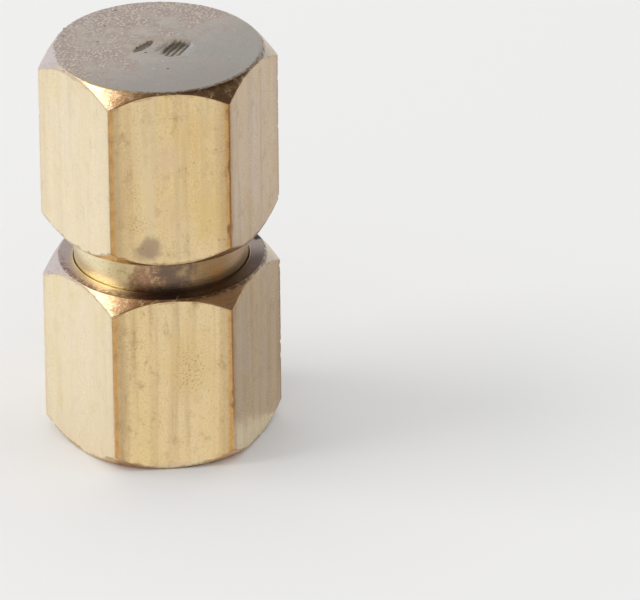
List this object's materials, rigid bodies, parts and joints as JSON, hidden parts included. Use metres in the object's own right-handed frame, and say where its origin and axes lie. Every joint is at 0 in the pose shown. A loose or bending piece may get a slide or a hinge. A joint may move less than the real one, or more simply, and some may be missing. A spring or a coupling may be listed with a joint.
{
  "type": "compression stop end",
  "caption": "Brass compression stop end for 8 mm tube: a closed hexagonal body with a round neck, screwed into an equal hexagonal nut over a barrel-shaped olive.",
  "frame": {"origin": "middle of the nut's end face, where the tube goes in", "axes": "+Z along the fitting's axis from the nut to the closed end; each hexagon has a pair of flats square to Y at rest"},
  "size_m": [0.0162, 0.014, 0.0283],
  "materials": {
    "nut_brass": "drawn hexagon bar with turned ends, bare",
    "olive_brass": "turned, bare",
    "body_brass": "drawn hexagon bar with turned ends and neck, bare"
  },
  "bodies": {
    "nut": {"compression_nut": "nut_brass"},
    "olive": {"olive": "olive_brass"},
    "stop_end": {"stop_end_body": "body_brass"}
  },
  "joints": [
    {"name": "body_turn", "type": "hinge", "parent": "nut", "child": "olive", "pos_m": [0, 0, 0], "axis": [0, 0, 1], "range_deg": [0, 1710.5]},
    {"name": "body_rise", "type": "slide", "parent": "olive", "child": "stop_end", "axis": [0, 0, 1], "range_m": [0, 0.00475]}
  ],
  "couplings": [
    {"joint": "body_turn", "follows": "body_rise", "rad_per_m": 6283.2}
  ]
}
